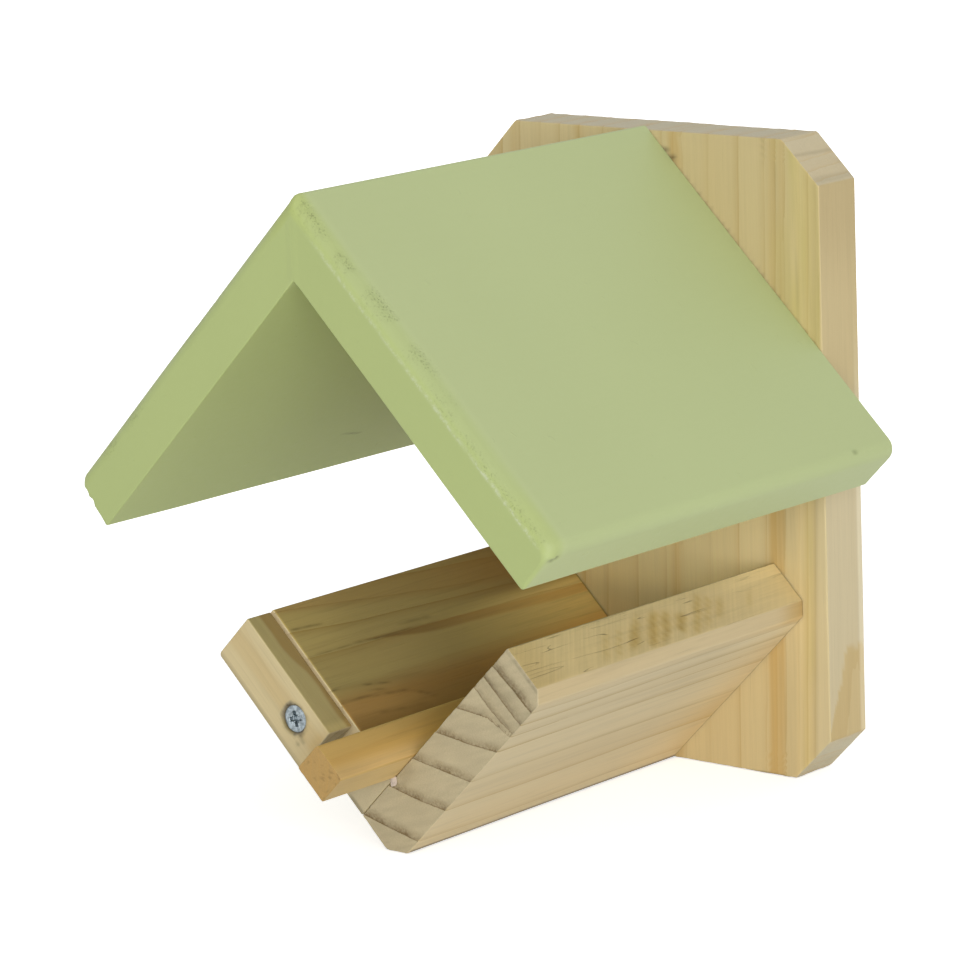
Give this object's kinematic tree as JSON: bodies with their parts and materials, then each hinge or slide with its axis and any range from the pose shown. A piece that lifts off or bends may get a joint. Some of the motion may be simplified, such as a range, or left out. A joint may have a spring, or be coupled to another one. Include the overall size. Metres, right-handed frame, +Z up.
{
  "type": "jar holder for wild bird food",
  "caption": "Wooden wall holder that keeps a bird food jar on its side in a V-shaped tray under a painted gable roof, with a perch bar and a turn button that stops the jar.",
  "frame": {"origin": "middle of the wall hole on the rear face of the back board", "axes": "+Z up the wall, -Y out of the wall towards the front of the roof, +X to the right seen from the front"},
  "size_m": [0.1734, 0.172, 0.1915],
  "materials": {
    "bare_pine": "planed, untreated",
    "green_paint": "painted, satin",
    "tray_pine": "planed, sawn ends",
    "perch_wood": "planed, untreated",
    "zinc_steel": "zinc plated",
    "plain_steel": "bright"
  },
  "bodies": {
    "holder": {"back_board": "bare_pine", "roof_left_board": "green_paint", "roof_right_board": "green_paint", "tray_left_board": "tray_pine", "tray_right_board": "tray_pine", "perch_bar": "perch_wood", "turn_button_screw": "zinc_steel", "roof_screws": "zinc_steel", "tray_screws": "zinc_steel", "ridge_brads": "plain_steel"},
    "button": {"turn_button": "bare_pine"}
  },
  "joints": [
    {"name": "button_turn", "type": "hinge", "parent": "holder", "child": "button", "pos_m": [-0.02751, -0.1452, -0.10292], "axis": [0, 1, 0], "range_deg": [-174, 115]}
  ]
}
